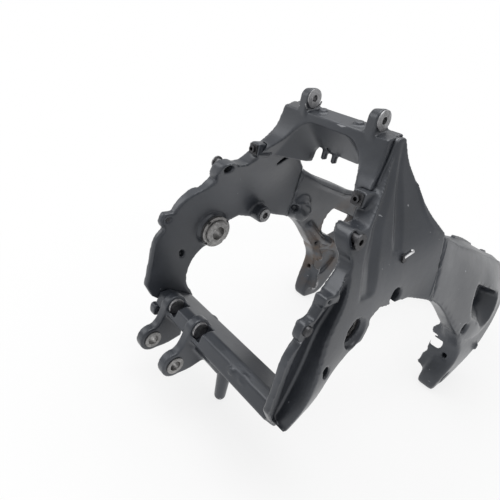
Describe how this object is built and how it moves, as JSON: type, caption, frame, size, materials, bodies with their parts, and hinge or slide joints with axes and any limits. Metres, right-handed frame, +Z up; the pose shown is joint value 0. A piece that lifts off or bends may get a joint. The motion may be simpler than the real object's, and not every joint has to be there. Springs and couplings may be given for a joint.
{
  "type": "motorcycle frame",
  "caption": "Twin-spar cast motorcycle frame with steering head, engine hangers, seat rail lugs and shock link lugs.",
  "frame": {"origin": "middle of the swingarm pivot axis, midway between the two side castings", "axes": "+X from the swingarm pivot to the steering head, +Y to the left of the rider, +Z up as the frame stands on its two engine hangers and its rear stub"},
  "size_m": [0.8479, 0.3616, 0.441],
  "materials": {
    "paint": "satin charcoal, scuffed at its edges",
    "bearing_steel": "ground",
    "bare_steel": "turned, worn",
    "bare_alloy": "turned",
    "dark_steel": "blackened"
  },
  "bodies": {
    "root": {"head_casting": "paint", "left_side_casting": "paint", "right_side_casting": "paint", "upper_crossmember": "paint", "lower_crossmember": "paint", "upper_head_race": "bearing_steel", "lower_head_race": "bearing_steel", "left_pivot_collar": "bare_steel", "right_pivot_collar": "bare_steel", "pivot_lock_ring": "bare_steel", "left_engine_collar": "bare_alloy", "right_engine_collar": "bare_alloy", "left_hanger_collar": "bare_alloy", "right_hanger_collar": "bare_alloy", "left_rail_bush": "bare_alloy", "right_rail_bush": "bare_alloy", "left_link_bush": "bare_steel", "right_link_bush": "bare_steel", "left_link_pin": "bare_alloy", "right_link_pin": "bare_alloy", "left_clip_nut": "dark_steel", "right_clip_nut": "dark_steel", "left_ear_collar": "bare_alloy", "right_ear_collar": "bare_alloy", "left_heel_screw": "dark_steel", "right_heel_screw": "dark_steel"}
  },
  "joints": []
}
